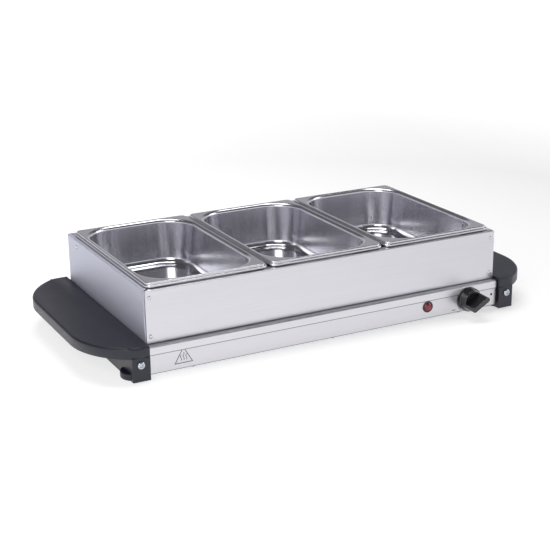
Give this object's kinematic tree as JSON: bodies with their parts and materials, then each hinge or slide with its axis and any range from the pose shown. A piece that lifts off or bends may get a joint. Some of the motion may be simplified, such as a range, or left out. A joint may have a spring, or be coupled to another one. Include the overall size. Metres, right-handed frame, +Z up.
{
  "type": "electric buffet server",
  "caption": "Flat electric warming tray with moulded end handles, a turn knob and a lamp, under a lift-off sheet-metal rack that holds rectangular food pans.",
  "frame": {"origin": "on the table, under the middle of the warming plate", "axes": "+X to the right along the tray's length, +Y to the back (the knob and the lamp face -Y), +Z up"},
  "size_m": [0.665, 0.3386, 0.1178],
  "materials": {
    "plate_steel": "brushed stainless sheet",
    "tray_steel": "brushed stainless sheet",
    "rack_steel": "bright satin stainless sheet",
    "rack_strip_steel": "satin stainless strip",
    "pan_steel": "drawn stainless, satin walls and bright floor",
    "handle_plastic": "black phenolic, fine moulded texture",
    "knob_plastic": "black phenolic, satin gloss",
    "lamp_lens": "translucent red, glossy",
    "lamp_holder_plastic": "natural nylon",
    "foot_rubber": "black, matte",
    "bushing_plastic": "black nylon",
    "galvanised_steel": "hot-dip galvanised sheet, spangled",
    "zinc_steel": "bright zinc plated",
    "screw_steel": "nickel plated",
    "rivet_steel": "stainless",
    "spreader_aluminium": "mill finish",
    "element_steel": "annealed sheath, dull",
    "terminal_brass": "plain",
    "mineral_wool": "needled ceramic fibre blanket",
    "thermostat_ceramic": "unglazed steatite",
    "fuse_casing": "plated tube",
    "neon_glass": "clear glass, orange glow when lit",
    "sleeve_brown": "brown glass-fibre sleeve",
    "sleeve_blue": "blue glass-fibre sleeve",
    "sleeve_green_yellow": "green and yellow glass-fibre sleeve"
  },
  "bodies": {
    "base": {"hot_plate": "plate_steel", "front_fascia": "tray_steel", "rear_fascia": "tray_steel", "left_end_panel": "tray_steel", "right_end_panel": "tray_steel", "bottom_cover": "galvanised_steel", "cover_screws": "zinc_steel", "heat_spreader": "spreader_aluminium", "heating_element": "element_steel", "element_terminals": "terminal_brass", "element_clamps": "zinc_steel", "clamp_studs": "zinc_steel", "clamp_nuts": "zinc_steel", "heat_shield": "galvanised_steel", "insulation_blanket": "mineral_wool", "thermostat_body": "thermostat_ceramic", "thermostat_screws": "zinc_steel", "thermal_fuse": "fuse_casing", "fuse_clip": "zinc_steel", "indicator_holder": "lamp_holder_plastic", "indicator_lens": "lamp_lens", "neon_bulb": "neon_glass", "cord_inlet_bushing": "bushing_plastic", "terminal_block": "thermostat_ceramic", "terminal_screw": "terminal_brass", "earth_tag": "terminal_brass", "earth_rivet": "rivet_steel", "live_wire": "sleeve_brown", "fuse_wire": "sleeve_brown", "switched_wire": "sleeve_brown", "neutral_wire": "sleeve_blue", "lamp_wires": "sleeve_brown", "earth_wire": "sleeve_green_yellow", "right_handle": "handle_plastic", "left_handle": "handle_plastic", "right_handle_bracket": "galvanised_steel", "left_handle_bracket": "galvanised_steel", "handle_screws": "screw_steel", "foot_front_left": "foot_rubber", "foot_rear_left": "foot_rubber", "foot_front_right": "foot_rubber", "foot_rear_right": "foot_rubber", "foot_screws": "zinc_steel"},
    "knob": {"control_knob": "knob_plastic", "thermostat_spindle": "zinc_steel", "knob_clip": "zinc_steel"},
    "rack": {"rack_front_panel": "rack_steel", "rack_rear_panel": "rack_steel", "rack_right_panel": "rack_steel", "rack_left_panel": "rack_steel", "rack_cross_bar_left": "rack_strip_steel", "rack_cross_bar_right": "rack_strip_steel", "rack_rivets": "rivet_steel", "rack_side_rivets": "rivet_steel", "rack_gusset_right": "rack_strip_steel", "rack_gusset_left": "rack_strip_steel"},
    "pan_left": {"pan_left": "pan_steel"},
    "pan_middle": {"pan_middle": "pan_steel"},
    "pan_right": {"pan_right": "pan_steel"}
  },
  "joints": [
    {"name": "knob_turn", "type": "hinge", "parent": "base", "child": "knob", "pos_m": [0.213, -0.1493, 0.0228], "axis": [0, 1, 0], "range_deg": [0, 270]},
    {"name": "rack_lift", "type": "slide", "parent": "base", "child": "rack", "axis": [0, 0, 1], "range_m": [0, 0.12]},
    {"name": "pan_left_lift", "type": "slide", "parent": "rack", "child": "pan_left", "axis": [0, 0, 1], "range_m": [0, 0.1]},
    {"name": "pan_middle_lift", "type": "slide", "parent": "rack", "child": "pan_middle", "axis": [0, 0, 1], "range_m": [0, 0.1]},
    {"name": "pan_right_lift", "type": "slide", "parent": "rack", "child": "pan_right", "axis": [0, 0, 1], "range_m": [0, 0.1]}
  ]
}
